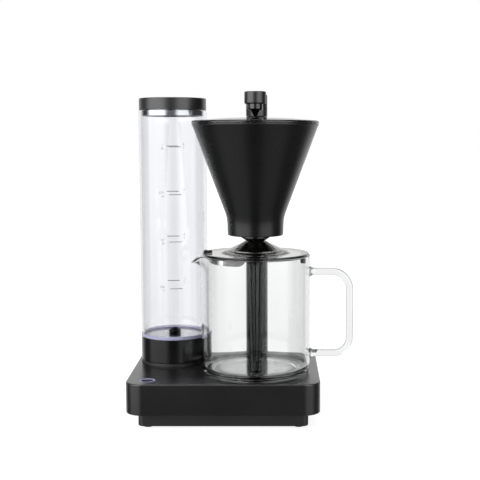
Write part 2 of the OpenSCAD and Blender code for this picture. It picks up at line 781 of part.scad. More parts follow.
module filter_lid() {
    edge = funnel_rim_z + gap;
    inner = funnel_rim_r - funnel_wall - 2;
    color([0.16, 0.16, 0.17, 0.6]) brewer() on_axis() rotate_extrude() polygon([
        [inner - 2, edge - 4], [inner, edge - 4], [inner, edge], [filter_lid_r - 0.4, edge],
        [filter_lid_r, edge + 0.4], [filter_lid_r, edge + 2.2], [filter_lid_r - 1.2, edge + 3.6],
        [45, edge + 6], [15.3, edge + 7.2], [11, edge + 7.2], [11, edge - 5], [12.6, edge - 5],
        [13.3, edge + 5], [45, edge + 4], [inner - 2, edge + 1.6]]);
}

// ---- jug ----

// Hull of the pouring lip, larger or smaller by the wall
module lip(grow) {
    hull() {
        translate([-jug_r + 12, 0, jug_h - 30]) sphere(r = 3 + grow, $fn = 32);
        translate([-jug_r + 12, 0, jug_h + 4]) scale([1, 1, 0.1]) sphere(r = 22 + grow, $fn = 32);
        translate([-jug_r - 9.5, 0, jug_h - 7]) sphere(r = 1.2 + grow, $fn = 32);
    }
}

module jug_glass() {
    b = jug_edge_r;
    color([0.92, 0.95, 0.95, 0.3]) brewer() on_axis() translate([0, 0, jug_bottom]) difference() {
        union() {
            rotate_extrude() polygon([[0, 3.2], [jug_r - b - 12, 2.4], [jug_r - b - 4, 0], [jug_r - b, 0],
                for (a = [-75:15:0]) [jug_r - b + b * cos(a), b + b * sin(a)],
                [jug_r, jug_h], [0, jug_h]]);
            intersection() {
                lip(glass);
                translate([-100, -50, 90]) cube([70, 100, jug_h - 90]);
            }
        }
        rotate_extrude() polygon([[0, 7], [jug_r - b - 8, 5.5],
            for (a = [-75:25:0]) [jug_bore_r - (b - glass) + (b - glass) * cos(a), 4 + b + (b - glass) * sin(a)],
            [jug_bore_r, jug_h + 1], [0, jug_h + 1]]);
        lip(0);
    }
}

// Quarter bend of the handle's rod in the XZ plane, about the given centre
module handle_bend(x, z, r, start) {
    translate([x, 0, z]) rotate([90, 0, 0]) rotate([0, 0, start]) rotate_extrude(angle = 90)
        translate([r, 0]) circle(handle_rod_r);
}
module jug_handle() {
    reach = handle_reach - handle_rod_r;
    upper = reach - handle_top_bend;
    lower = reach - handle_low_bend;
    color([0.92, 0.95, 0.95, 0.3]) brewer() on_axis() difference() {
        union() {
            translate([0, 0, handle_top_z]) along_x(handle_rod_r, jug_r - 1, upper);
            translate([0, 0, handle_low_z]) along_x(handle_rod_r, jug_r - 1, lower);
            handle_bend(upper, handle_top_z - handle_top_bend, handle_top_bend, 0);
            handle_bend(lower, handle_low_z + handle_low_bend, handle_low_bend, -90);
            translate([reach, 0, 0])
                post(handle_rod_r, handle_low_z + handle_low_bend, handle_top_z - handle_top_bend);
            for (z = [handle_low_z, handle_top_z]) translate([jug_r - 1, 0, z]) rotate([0, 90, 0])
                cylinder(r1 = handle_rod_r + 2.4, r2 = handle_rod_r, h = 4);
        }
        post(jug_r, jug_bottom, jug_rim);
    }
}

module jug_lid() {
    color([0.2, 0.2, 0.21, 0.5]) brewer() on_axis() {
        rotate_extrude() polygon([
            [22.4, jug_lid_z], [jug_bore_r - 2.4, jug_lid_z], [jug_bore_r - 2.4, jug_lid_z - 2.4],
            [jug_bore_r - 0.8, jug_lid_z - 2.4], [jug_bore_r - 0.8, jug_lid_z], [jug_lid_r, jug_lid_z],
            [jug_lid_r, jug_lid_z + 1.3], [jug_lid_r - 0.5, lid_floor], [39.9, lid_floor],
            [13.2, cone_top], [11.6, cone_top], [37.6, lid_floor - 0.3], [22.4, lid_floor - 0.3]]);
        // skirt beside the pouring lip
        rotate([0, 0, 202]) rotate_extrude(angle = 56)
            translate([jug_bore_r - 4.6, jug_lid_z - 8]) square([1.8, 8]);
        // thumb rest over the pouring lip
        block(-jug_lid_r + 1.5, -4, lid_floor, [10, 8, 3]);
    }
}

module lid_cone() {
    color("#121213") brewer() on_axis() rotate_extrude() polygon([
        [5, jug_lid_z - 5], [tube_top_r - 1.6, jug_lid_z - 5], [tube_top_r - 1.6, jug_lid_z - 0.6],
        [22.3, jug_lid_z - 0.6], [22.3, lid_floor - 0.8], [10.5, cone_top - 0.7], [8.2, cone_top - 0.7],
        [5, cone_top - 4]]);
}

module mixing_tube() {
    top = jug_lid_z - 0.6;
    lean = atan((tube_top_r - tube_end_r) / (top - tube_bottom));
    color("#1a1a1b") brewer() on_axis() difference() {
        rotate_extrude() polygon([[0, tube_bottom], [tube_end_r - 2.2, tube_bottom],
            [tube_end_r - 0.7, tube_bottom + 0.9], [tube_end_r, tube_bottom + 2.6], [tube_top_r, top - 2],
            [tube_top_r, top], [tube_top_r - 1.5, top], [tube_top_r - 1.5, top - 6], [tube_end_r - 2.4, tube_bottom + 6],
            [0, tube_bottom + 4]]);
        for (i = [1:tube_flutes]) rotate([0, 0, 360 / tube_flutes * i])
            translate([tube_end_r + 0.5, 0, tube_bottom - 4]) rotate([0, lean, 0])
                cylinder(r = 1.4, h = top - tube_bottom - 6);
        for (i = [0:2]) rotate([0, 0, 18 + 120 * i]) translate([0, 0, tube_bottom + 9]) along_x(1.2, 0, 10);
    }
}

module lid_catch() {
    color("#19191a") brewer() on_axis() difference() {
        block(jug_bore_r - 8.8, -5, jug_lid_z - 10.5, [6, 10, 10.5]);
        block(jug_bore_r - 7.3, -3.4, jug_lid_z - 9, [6, 6.8, 5]);
    }
}

base_shell();
bottom_pan();
feet();
pan_screws();
warming_plate();
plate_seal();
flow_heater();
heater_strap();
strap_screws();
thermostat();
thermal_fuse();
dock();
dock_seal();
dock_elbow();
check_valve();
inlet_hose();
outlet_hose();
hose_clips();
control_board();
board_screws();
button_switch();
led_ring();
terminal_block();
cord_gland();
column_foot();
column_sleeve();
column_tube();
column_nut();
riser_pipe();
column_head();
head_bush();
holder_bracket();
bracket_screws();
power_button();
button_spring();
spray_arm();
arm_cover();
arm_seal();
spout_cap();
spout();
tank_tube();
tank_base();
valve_guide();
valve_spring();
valve_head();
tank_lid();
tank_lid_plug();
tank_lid_seal();
filter_funnel();
drip_housing();
drip_spring();
drip_plunger();
drip_seal();
filter_lid();
jug_glass();
jug_handle();
jug_lid();
lid_cone();
mixing_tube();
lid_catch();
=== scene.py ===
import json
import math

import bmesh
import bpy
from mathutils import Matrix, Vector


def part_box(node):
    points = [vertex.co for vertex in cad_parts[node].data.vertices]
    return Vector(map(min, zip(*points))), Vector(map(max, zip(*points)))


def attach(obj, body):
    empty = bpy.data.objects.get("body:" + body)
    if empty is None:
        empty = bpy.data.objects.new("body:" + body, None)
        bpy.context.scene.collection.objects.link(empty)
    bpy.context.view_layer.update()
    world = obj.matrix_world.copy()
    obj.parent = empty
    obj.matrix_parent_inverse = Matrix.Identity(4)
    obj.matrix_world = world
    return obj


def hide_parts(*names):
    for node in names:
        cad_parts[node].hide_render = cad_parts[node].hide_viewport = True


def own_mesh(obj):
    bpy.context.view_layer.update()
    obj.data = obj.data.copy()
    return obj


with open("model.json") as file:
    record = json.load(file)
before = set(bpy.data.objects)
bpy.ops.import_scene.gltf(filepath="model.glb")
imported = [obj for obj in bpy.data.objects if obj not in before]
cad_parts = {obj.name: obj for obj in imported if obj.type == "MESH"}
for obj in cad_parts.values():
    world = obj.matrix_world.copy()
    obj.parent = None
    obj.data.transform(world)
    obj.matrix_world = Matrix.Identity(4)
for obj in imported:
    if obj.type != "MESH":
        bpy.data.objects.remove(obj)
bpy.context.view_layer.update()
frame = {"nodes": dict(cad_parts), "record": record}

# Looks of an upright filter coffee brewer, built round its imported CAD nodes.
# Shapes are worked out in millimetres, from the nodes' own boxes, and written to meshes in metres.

MM = 0.001
SEGMENTS = 144                      # sides of a body of revolution
BODY_OF = {n: b for b, nodes in frame["record"]["behaviour"]["bodies"].items() for n in nodes}
SLOT_OF = {part["node"]: part["material_slot"] for part in frame["record"]["subparts"]}


# ---- places ----

class Place:
    """Axis, radius, sides and heights of a CAD node at rest, in millimetres."""

    def __init__(self, node):
        low, high = (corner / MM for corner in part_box(node))
        self.x, self.y = (low.x + high.x) / 2, (low.y + high.y) / 2
        self.radius = (high.x - low.x) / 2
        self.left, self.right = low.x, high.x
        self.front, self.back = low.y, high.y
        self.low, self.high = low.z, high.z


base = Place("base_shell")
pan = Place("bottom_pan")
plate = Place("warming_plate")
ring = Place("led_ring")
button = Place("power_button")
tank = Place("tank_tube")
tank_foot = Place("tank_base")
valve = Place("valve_head")
cover = Place("tank_lid")
plug = Place("tank_lid_plug")
column_foot = Place("column_foot")
sleeve = Place("column_sleeve")
tube = Place("column_tube")
head = Place("column_head")
cap = Place("spout_cap")
nozzle = Place("spout")
arm = Place("spray_arm")
arm_cover = Place("arm_cover")
bracket = Place("holder_bracket")
funnel = Place("filter_funnel")
drip = Place("drip_housing")
filter_lid = Place("filter_lid")
cone = Place("lid_cone")
mixer = Place("mixing_tube")
jug_lid = Place("jug_lid")
catch = Place("lid_catch")
jug = Place("jug_glass")
handle = Place("jug_handle")

JUG_RADIUS = 63.5                   # the glass, without its pouring lip
GLASS = 2.4
JUG_BORE = JUG_RADIUS - GLASS
TANK_BORE = tank.radius - 3.4
JUG_RIM = jug.low + 137.4
LID_LOW = JUG_RIM + 0.3             # underside of the jug lid's disc
LID_TOP = 1.8                       # thickness of the jug lid's disc
COLUMN_BORE = tube.radius + 0.05    # of the pieces that sit on the column's tube


# ---- shapes ----

def rounded(corners, closed=True, step=12):
    """Points of an outline through corners (a, b) or (a, b, radius); step is the degrees between points."""
    points = []
    count = len(corners)
    for i, corner in enumerate(corners):
        here = Vector(corner[:2])
        inner = closed or 0 < i < count - 1
        if len(corner) < 3 or not inner:
            points.append(here)
            continue
        before = (Vector(corners[i - 1][:2]) - here).normalized()
        after = (Vector(corners[(i + 1) % count][:2]) - here).normalized()
        half = before.angle(after) / 2
        turn = math.pi - 2 * half
        centre = here + (before + after).normalized() * corner[2] / math.sin(half)
        spoke = here + before * corner[2] / math.tan(half) - centre
        side = 1 if after.cross(before) > 0 else -1
        steps = max(2, round(math.degrees(turn) / step))
        points += [centre + Matrix.Rotation(side * turn * k / steps, 2) @ spoke for k in range(steps + 1)]
    return points


def divided(points, length, closed=True):
    """The same outline with its long stretches cut into pieces no longer than length."""
    out = []
    ends = points[1:] + points[:1] if closed else points[1:]
    for a, b in zip(points, ends):
        cuts = max(1, math.ceil((b - a).length / length))
        out += [a.lerp(b, k / cuts) for k in range(cuts)]
    return out if closed else out + [points[-1]]


def bridge(bm, a, b):
    """Faces between two loops of vertices; a loop may be a single point."""
    count = max(len(a), len(b))
    for k in range(count if count > 1 else 0):
        corners = [a[k % len(a)], a[(k + 1) % len(a)], b[(k + 1) % len(b)], b[k % len(b)]]
        bm.faces.new(list(dict.fromkeys(corners)))


def lathe(outline, at, closed=True, segments=SEGMENTS, shape=None):
    """Body of revolution of (radius, height) points about a place's upright axis.
    shape may move a point, given as radius, height and angle, to a new radius and height."""
    bm = bmesh.new()
    loops = []
    for radius, height in outline:
        loop = []
        for k in range(segments if radius > 1e-6 else 1):
            angle = 2 * math.pi * k / segments
            r, z = shape(radius, height, angle) if shape else (radius, height)
            loop.append(bm.verts.new((at.x + r * math.cos(angle), at.y + r * math.sin(angle), z)))
        loops.append(loop)
    for a, b in zip(loops, loops[1:] + loops[:1] if closed else loops[1:]):
        bridge(bm, a, b)
    return bm


def block(x, y, z, radius, segments=4):
    """Box between pairs of x, y and z, with all its edges rounded."""
    bm = bmesh.new()
    bmesh.ops.create_cube(bm, size=1)
    for v in bm.verts:
        v.co = [pair[0] if c < 0 else pair[1] for c, pair in zip(v.co, (x, y, z))]
    bmesh.ops.bevel(bm, geom=bm.edges[:], offset=radius, segments=segments, profile=0.5, affect="EDGES")
    return bm


def rectangle(x, y, half_x, half_y, radius, steps=10):
    """Points round a rectangle with round corners."""
    points = []
    for quarter in range(4):
        side_x, side_y = (1, -1, -1, 1)[quarter], (1, 1, -1, -1)[quarter]
        for k in range(steps + 1):
            angle = math.pi / 2 * (quarter + k / steps)
            points.append((x + side_x * (half_x - radius) + radius * math.cos(angle),
                           y + side_y * (half_y - radius) + radius * math.sin(angle)))
    return points


def moulding(at, corner, profile, holes=(), chamfer=0.3):
    """Closed tray swept round a rounded rectangle. profile holds (inset, height) points, and its first and
    last loops are filled flat; holes are (x, y, half_x, half_y, radius) and go through both."""
    bm = bmesh.new()
    half_x, half_y = (at.right - at.left) / 2, (at.back - at.front) / 2

    def loop(x, y, hx, hy, radius, height):
        return [bm.verts.new((px, py, height)) for px, py in rectangle(x, y, hx, hy, radius)]

    loops = [loop(at.x, at.y, half_x - inset, half_y - inset, corner - inset, height)
             for inset, height in profile]
    first, last = profile[0][1], profile[-1][1]
    step = math.copysign(chamfer, last - first)
    rims, ends = [loops[0]], [loops[-1]]
    for x, y, hx, hy, radius in holes:
        wide = loop(x, y, hx + chamfer, hy + chamfer, radius + chamfer, first)
        narrow = loop(x, y, hx, hy, radius, first + step)
        far = loop(x, y, hx, hy, radius, last)
        bridge(bm, wide, narrow)
        bridge(bm, narrow, far)
        rims.append(wide)
        ends.append(far)
    for a, b in zip(loops, loops[1:]):
        bridge(bm, a, b)
    for rim in (rims, ends):
        edges = [bm.edges.get((v, part[k - 1])) for part in rim for k, v in enumerate(part)]
        bmesh.ops.triangle_fill(bm, edges=edges, use_beauty=True)
    return bm


def combined(first, *others, operation="UNION"):
    """The first shape joined with the others, or with them cut away."""
    collection = bpy.context.collection
    made = []
    for bm in (first, *others):
        bmesh.ops.recalc_face_normals(bm, faces=bm.faces)
        mesh = bpy.data.meshes.new("shape")
        bm.to_mesh(mesh)
        bm.free()
        made.append(bpy.data.objects.new("shape", mesh))
        collection.objects.link(made[-1])
    for tool in made[1:]:
        modifier = made[0].modifiers.new("join", "BOOLEAN")
        modifier.operation = operation
        modifier.solver = "EXACT"
        modifier.object = tool
    result = bmesh.new()
    result.from_object(made[0], bpy.context.evaluated_depsgraph_get())
    for obj in made:
        mesh = obj.data
        bpy.data.objects.remove(obj)
        bpy.data.meshes.remove(mesh)
    return result


def skin(name, bm, *nodes, finish=None, sharp=32):
    """Shown piece from a shape in millimetres. It has the body and slot of the first CAD node named. Edges
    sharper than so many degrees stay sharp."""
    bmesh.ops.remove_doubles(bm, verts=bm.verts, dist=1e-4)
    bmesh.ops.recalc_face_normals(bm, faces=bm.faces)
    bmesh.ops.scale(bm, vec=(MM, MM, MM), verts=bm.verts)
    mesh = bpy.data.meshes.new(name)
    bm.to_mesh(mesh)
    bm.free()
    mesh.polygons.foreach_set("use_smooth", [True] * len(mesh.polygons))
    mesh.set_sharp_from_angle(angle=math.radians(sharp))
    obj = bpy.data.objects.new(name, mesh)
    bpy.context.collection.objects.link(obj)
    modifier = obj.modifiers.new("flat faces stay flat", "WEIGHTED_NORMAL")
    modifier.keep_sharp = True
    mesh.materials.append(FINISHES[finish or SLOT_OF[nodes[0]]])
    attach(obj, BODY_OF[nodes[0]])
    obj.visible_shadow = obj.active_material.name not in SEE_THROUGH
    return obj


def stand_in(node, bm, **options):
    """Detailed piece that replaces one CAD node."""
    obj = skin(node + "_skin", bm, node, **options)
    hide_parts(node)
    return obj


# ---- materials ----

class Finish:
    """A material in object coordinates, with the noises that vary its colour, gloss and surface."""

    def __init__(self, name, colour, roughness, **sockets):
        self.material = bpy.data.materials.new(name)
        self.material.use_nodes = True
        self.tree = self.material.node_tree
        self.shader = self.tree.nodes["Principled BSDF"]
        self.colour = colour
        self.roughness = roughness
        self.set("Base Color", (*colour, 1))
        self.set("Roughness", roughness)
        for socket, value in sockets.items():
            self.set(socket.replace("_", " "), value)
        self.place = self.tree.nodes.new("ShaderNodeTexCoord").outputs["Object"]
        self.normal = None

    def set(self, socket, value):
        self.shader.inputs[socket].default_value = value

    def noise(self, size_mm, detail=3.0, stretch=(1, 1, 1)):
        """Noise with features of about the given size, longer along an axis whose stretch is over 1."""
        mapping = self.tree.nodes.new("ShaderNodeMapping")
        mapping.inputs["Scale"].default_value = [1 / (size_mm * MM * s) for s in stretch]
        self.tree.links.new(self.place, mapping.inputs["Vector"])
        texture = self.tree.nodes.new("ShaderNodeTexNoise")
        texture.inputs["Scale"].default_value = 1
        texture.inputs["Detail"].default_value = detail
        self.tree.links.new(mapping.outputs["Vector"], texture.inputs["Vector"])
        return texture.outputs["Fac"]

    def ranged(self, factor, low, high, start=0.3, end=0.7):
        node = self.tree.nodes.new("ShaderNodeMapRange")
        node.inputs["From Min"].default_value = start
        node.inputs["From Max"].default_value = end
        node.inputs["To Min"].default_value = low
        node.inputs["To Max"].default_value = high
        self.tree.links.new(factor, node.inputs["Value"])
        return node.outputs["Result"]

    def vary_gloss(self, factor, spread):
        result = self.ranged(factor, self.roughness - spread, self.roughness + spread)
        self.tree.links.new(result, self.shader.inputs["Roughness"])
        return self

    def vary_colour(self, factor, share, other=None):
        """Blends between a darker and a lighter tone of the colour, or towards another colour."""
        mix = self.tree.nodes.new("ShaderNodeMix")
        mix.data_type = "RGBA"
        tones = [[c * (1 - share) for c in self.colour], [c * (1 + share) for c in self.colour]]
        if other:
            tones = [self.colour, other]
        mix.inputs["A"].default_value = (*tones[0], 1)
        mix.inputs["B"].default_value = (*tones[1], 1)
        self.tree.links.new(self.ranged(factor, 0, 1), mix.inputs["Factor"])
        self.tree.links.new(mix.outputs["Result"], self.shader.inputs["Base Color"])
        return self

    def bump(self, factor, depth_mm):
        node = self.tree.nodes.new("ShaderNodeBump")
        node.inputs["Distance"].default_value = depth_mm * MM
        self.tree.links.new(factor, node.inputs["Height"])
        if self.normal:
            self.tree.links.new(self.normal, node.inputs["Normal"])
        self.normal = node.outputs["Normal"]
        self.tree.links.new(self.normal, self.shader.inputs["Normal"])
        return self


def moulded(name, colour, roughness, grain_mm=0.5, grain_depth=0.006, specular=0.7):
    """Moulded plastic with a fine spark-eroded grain, faint flow marks and uneven gloss."""
    finish = Finish(name, colour, roughness, Specular_IOR_Level=specular)
    finish.vary_gloss(finish.noise(40, 3), 0.02)
    finish.vary_colour(finish.noise(60, 3), 0.08)
    finish.bump(finish.noise(60, 1), 0.01)
    finish.bump(finish.noise(grain_mm, 2), grain_depth)
    return finish.material


def clear(name, colour, ior, ripple_depth, stretch=(1, 1, 4)):
    """Clear plastic or glass with slight ripples and a trace of uneven polish."""
    finish = Finish(name, colour, 0.02, Transmission_Weight=1.0, IOR=ior)
    finish.vary_gloss(finish.noise(12, 3), 0.012)
    finish.vary_colour(finish.noise(60, 2), 0.01)
    finish.bump(finish.noise(18, 2, stretch), ripple_depth)
    return finish.material


def milk():
    """Pale violet, milky plastic at the glued foot of the tank."""
    finish = Finish("tank_milk", (0.73, 0.73, 0.96), 0.22, Transmission_Weight=0.65, IOR=1.3)
    finish.vary_colour(finish.noise(8, 3), 0.04)
    finish.vary_gloss(finish.noise(5, 3), 0.05)
    finish.bump(finish.noise(3, 3), 0.01)
    return finish.material


def metal(name, colour, roughness, stretch):
    """Metal with fine marks drawn along one axis."""
    finish = Finish(name, colour, roughness, Metallic=1.0)
    marks = finish.noise(0.4, 3, stretch)
    finish.vary_gloss(marks, 0.08)
    finish.vary_colour(finish.noise(9, 4), 0.08)
    finish.bump(marks, 0.004)
    return finish.material


def rubber(name, colour, roughness=0.72):
    """Rubber or silicone with a dusty, slightly pitted face."""
    finish = Finish(name, colour, roughness, Specular_IOR_Level=0.35)
    finish.vary_gloss(finish.noise(6, 4), 0.1)
    finish.vary_colour(finish.noise(3, 5), 0.2)
    finish.bump(finish.noise(0.7, 4), 0.03)
    return finish.material


def printed_board():
    """Green solder mask over a pattern of tracks."""
    finish = Finish("board", (0.02, 0.13, 0.05), 0.3)
    tracks = finish.tree.nodes.new("ShaderNodeTexBrick")
    tracks.inputs["Scale"].default_value = 220
    tracks.inputs["Mortar Size"].default_value = 0.04
    finish.tree.links.new(finish.place, tracks.inputs["Vector"])
    finish.vary_colour(tracks.outputs["Fac"], 0, (0.05, 0.26, 0.1))
    finish.bump(tracks.outputs["Fac"], 0.03)
    finish.vary_gloss(finish.noise(5), 0.06)
    return finish.material


def lit_ring():
    """Milky light guide, lit from below."""
    finish = Finish("led_ring", (0.2, 0.2, 0.3), 0.35, Subsurface_Weight=0.2)
    finish.set("Emission Color", (0.62, 0.64, 1.0, 1))
    glow = finish.ranged(finish.noise(3, 2), 0.04, 0.07)
    finish.tree.links.new(glow, finish.shader.inputs["Emission Strength"])
    finish.bump(finish.noise(0.6, 2), 0.01)
    return finish.material


def ink():
    """Grey printing ink, slightly thin in places."""
    finish = Finish("scale_ink", (0.16, 0.16, 0.17), 0.5)
    finish.vary_colour(finish.noise(0.5, 4), 0.35)
    finish.bump(finish.noise(0.3, 3), 0.01)
    return finish.material


SEE_THROUGH = ("tank_clear", "tank_milk", "smoke_clear", "lid_smoke", "skirt_smoke", "jug_glass")
FINISHES = {
    "shell_black": moulded("shell_black", (0.0068, 0.0068, 0.0073), 0.25, grain_depth=0.004, specular=0.85),
    "pan_black": moulded("pan_black", (0.006, 0.006, 0.0065), 0.45, 0.7, 0.012),
    "holder_black": moulded("holder_black", (0.0025, 0.0026, 0.0028), 0.27, 0.4, 0.003, 0.65),
    "column_black": moulded("column_black", (0.006, 0.006, 0.0065), 0.26, 0.3, 0.003, 0.9),
    "lid_black": moulded("lid_black", (0.0045, 0.0045, 0.005), 0.32, 0.4, 0.004, 1.0),
    "foot_black": moulded("foot_black", (0.0035, 0.0035, 0.004), 0.2, 0.4, 0.003, 0.5),
    "gloss_black": moulded("gloss_black", (0.003, 0.003, 0.0035), 0.14, 0.8, 0.001, 0.9),
    "tube_black": moulded("tube_black", (0.0015, 0.0015, 0.002), 0.09, 0.8, 0.001, 1.0),
    "cone_black": moulded("cone_black", (0.002, 0.002, 0.002), 0.4, 0.4, 0.003, 0.2),
    "plug_chrome": metal("plug_chrome", (0.5, 0.51, 0.53), 0.16, (1, 1, 0.3)),
    "button_black": moulded("button_black", (0.006, 0.006, 0.009), 0.14, 0.8, 0.001, 0.9),
    "led_white": lit_ring(),
    "tank_clear": clear("tank_clear", (0.975, 0.982, 1.0), 1.5, 0.008),
    "smoke_clear": clear("smoke_clear", (0.16, 0.16, 0.17), 1.49, 0.01, (1, 1, 1)),
    "lid_smoke": clear("lid_smoke", (0.62, 0.62, 0.6), 1.49, 0.01, (1, 1, 1)),
    "skirt_smoke": clear("skirt_smoke", (0.13, 0.13, 0.13), 1.49, 0.01, (1, 1, 1)),
    "tank_milk": milk(),
    "jug_glass": clear("jug_glass", (0.985, 0.995, 0.99), 1.47, 0.008, (1, 1, 2)),
    "plate_black": moulded("plate_black", (0.014, 0.014, 0.0145), 0.05, 0.8, 0.0005, 1.0),
    "rubber_black": rubber("rubber_black", (0.012, 0.012, 0.012)),
    "silicone": rubber("silicone", (0.62, 0.61, 0.57), 0.5),
    "silicone_red": rubber("silicone_red", (0.36, 0.05, 0.03), 0.5),
    "screw_black": metal("screw_black", (0.03, 0.03, 0.032), 0.42, (1, 1, 1)),
    "steel": metal("steel", (0.58, 0.58, 0.6), 0.3, (1, 1, 6)),
    "aluminium": metal("aluminium", (0.66, 0.67, 0.69), 0.38, (6, 1, 1)),
    "bush_white": moulded("bush_white", (0.74, 0.73, 0.68), 0.4, 0.6, 0.01, 0.5),
    "board_green": printed_board(),
    "ceramic": rubber("ceramic", (0.66, 0.6, 0.45), 0.6),
    "scale_ink": ink(),
}


# ---- base ----

def base_shell():
    """Outer shell: straight walls, a soft upper edge, and openings for the plate and the lit ring."""
    wall = 2.5
    profile = rounded([(4, base.high), (0, base.high, 1.6), (0, base.low, 0.8), (wall, base.low, 0.4),
                       (wall, base.high - 3, 1), (wall + 3, base.high - 3)], closed=False)
    holes = [(plate.x, plate.y, *[plate.radius + 0.35] * 3), (ring.x, ring.y, *[ring.radius - 1.65] * 3)]
    stand_in("base_shell", moulding(base, 20, profile, holes))


def bottom_pan():
    """Plinth with vent slots in its floor and a flange that closes the shell."""
    flange, floor = 11, 2.5
    profile = rounded([(flange + 3, pan.low), (flange, pan.low, 1.5), (flange, pan.high - 2, 0.6),
                       (0, pan.high - 2, 0.4), (0, pan.high, 0.4), (flange + floor, pan.high, 0.4),
                       (flange + floor, pan.low + floor, 0.6), (flange + floor + 2, pan.low + floor)],
                      closed=False)
    slots = [(plate.x + 9 * i, plate.y, 2, 25, 1.9) for i in range(-4, 5)]
    stand_in("bottom_pan", moulding(pan, 17.4, profile, slots))


def warming_plate():
    """Coated plate with a raised rim and a shallow dish."""
    outline = rounded([(0, plate.high - 0.35), (36, plate.high - 0.35, 0.6), (37, plate.high, 0.6),
                       (plate.radius - 2.2, plate.high, 0.4), (plate.radius - 1.4, plate.high - 0.25, 0.3),
                       (plate.radius, plate.high - 0.25, 0.35), (plate.radius, plate.high - 1.2),
                       (50, plate.high - 1.2), (50, plate.high - 3.6), (0, plate.high - 3.6)])
    stand_in("warming_plate", lathe(outline, plate))


def power_button():
    """Dished button in its lit ring."""
    bore = ring.radius - 3.7
    seat = ring.radius - 1.7
    outline = rounded([(bore, ring.low), (bore, ring.high, 0.35), (seat, ring.high, 0.35),
                       (seat, ring.high - 3), (ring.radius, ring.high - 3), (ring.radius, ring.low)])
    stand_in("led_ring", lathe(outline, ring, segments=96))
    top, r = button.high, button.radius
    dish = [Vector((r * 0.86 * k / 6, top - 0.5 * (1 - (k / 6) ** 2))) for k in range(6)]
    rest = rounded([(r * 0.86, top), (r, top, 0.5), (r, top - 3.9), (3, top - 3.9), (3, button.low),
                    (0, button.low)], closed=False)
    stand_in("power_button", lathe(dish + rest, button, segments=96))


# ---- springs ----

def spring(node, turns, wire):
    """Coil of round wire with close end turns."""
    place = Place(node)
    coil_r, span = place.radius - wire, place.high - place.low - 2 * wire
    closing = 0.12                  # how strongly the end turns are drawn together
    steps, sides = 32 * turns, 12
    bm = bmesh.new()
    loops = []
    for k in range(steps + 1):
        share = k / steps
        turn = 2 * math.pi * turns * share
        height = place.low + wire + span * (share - closing * math.sin(2 * math.pi * share))
        loop = []
        for i in range(sides):
            angle = 2 * math.pi * i / sides
            r = coil_r + wire * math.cos(angle)
            loop.append(bm.verts.new((place.x + r * math.cos(turn), place.y + r * math.sin(turn),
                                      height + wire * math.sin(angle))))
        loops.append(loop)
    for a, b in zip(loops, loops[1:]):
        bridge(bm, a, b)
    bm.faces.new(loops[0])
    bm.faces.new(loops[-1])
    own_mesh(stand_in(node, bm))


# ---- column and spray arm ----

def column():
    """Foot collar, sleeve, tube and head, each with its own soft edges."""
    bore = COLUMN_BORE
    r = column_foot.radius
    stand_in("column_foot", lathe(rounded([
        (bore, column_foot.low), (r, column_foot.low), (r, column_foot.high, 0.7),
        (bore, column_foot.high)]), column_foot))
    stand_in("column_sleeve", lathe(rounded([
        (bore, sleeve.low), (r, sleeve.low, 0.7), (r, sleeve.high - 3, 1.2), (r - 3, sleeve.high, 0.6),
        (bore, sleeve.high)]), sleeve))
    stand_in("column_tube", lathe(rounded([
        (tube.radius - 1.5, tube.low), (tube.radius, tube.low, 0.3), (tube.radius, tube.high, 0.3),
        (tube.radius - 1.5, tube.high)]), tube))
    neck = tube.radius - 1.55
    stand_in("column_head", lathe(rounded([
        (4.1, head.low), (neck, head.low, 0.5), (neck, head.low + 12), (head.radius, head.low + 12, 1.4),
        (head.radius, head.high, 0.4), (8.1, head.high), (8.1, head.low + 13), (4.1, head.low + 13)]), head))


def spray_arm():
    """Hub on the column, a soft-edged bar to the front, its cover plate, and the capped spout."""
    hub_low = head.high + 0.3
    pin = 6
    hub = lathe(rounded([(0, arm.low), (pin, arm.low, 0.5), (pin, hub_low), (head.radius, hub_low, 0.4),
                         (head.radius, arm.high, 1.6), (0, arm.high)]), head)
    bar = block((arm.x - 9, arm.x + 9), (cap.y, head.y), (hub_low + 1, hub_low + 12), 2.6)
    stand_in("spray_arm", combined(hub, bar))
    stand_in("arm_cover", block((arm_cover.left, arm_cover.right), (arm_cover.front, arm_cover.back),
                                (arm_cover.low - 0.6, arm_cover.high), 0.55, 3))
    r, bore = cap.radius, 10.05
    stand_in("spout_cap", lathe(rounded([
        (bore, cap.low + 1), (r - 1.6, cap.low, 0.4), (r, cap.low, 1.5), (r, cap.high, 1.5),
        (0, cap.high), (0, cap.high - 1.2), (bore, cap.high - 1.2)]), cap))
    tip, neck = nozzle.low, nozzle.low + 6.8
    stand_in("spout", lathe(rounded([
        (1, tip), (1.8, tip, 0.3), (5.4, neck - 1, 1), (nozzle.radius, neck, 2.4),
        (nozzle.radius, nozzle.high, 0.4), (0, nozzle.high), (0, tip + 2), (1, tip + 2)]), nozzle))


def holder_bracket():
    """Split clamp round the column, with the tongue that the filter holder slides onto."""
    bore, clamp_r = COLUMN_BORE, 15.5
    low, high = bracket.low, bracket.high
    middle = (low + high) / 2
    clamp = lathe(rounded([(bore, low, 0.5), (clamp_r, low, 1.4), (clamp_r, high, 1.4), (bore, high, 0.5)]),
                  tube)
    tongue = block((tube.x - 7, tube.x + 7), (bracket.front, tube.y - 12), (middle - 3, middle + 3), 0.8)
    ears = block((tube.x - 9, tube.x + 9), (tube.y + 11, bracket.back), (low, high), 1.2)
    slot = block((tube.x - 1, tube.x + 1), (tube.y + 5, bracket.back + 5), (low - 5, high + 5), 0.1, 1)
    stand_in("holder_bracket", combined(combined(clamp, tongue, ears), slot, operation="DIFFERENCE"))


# ---- water tank ----

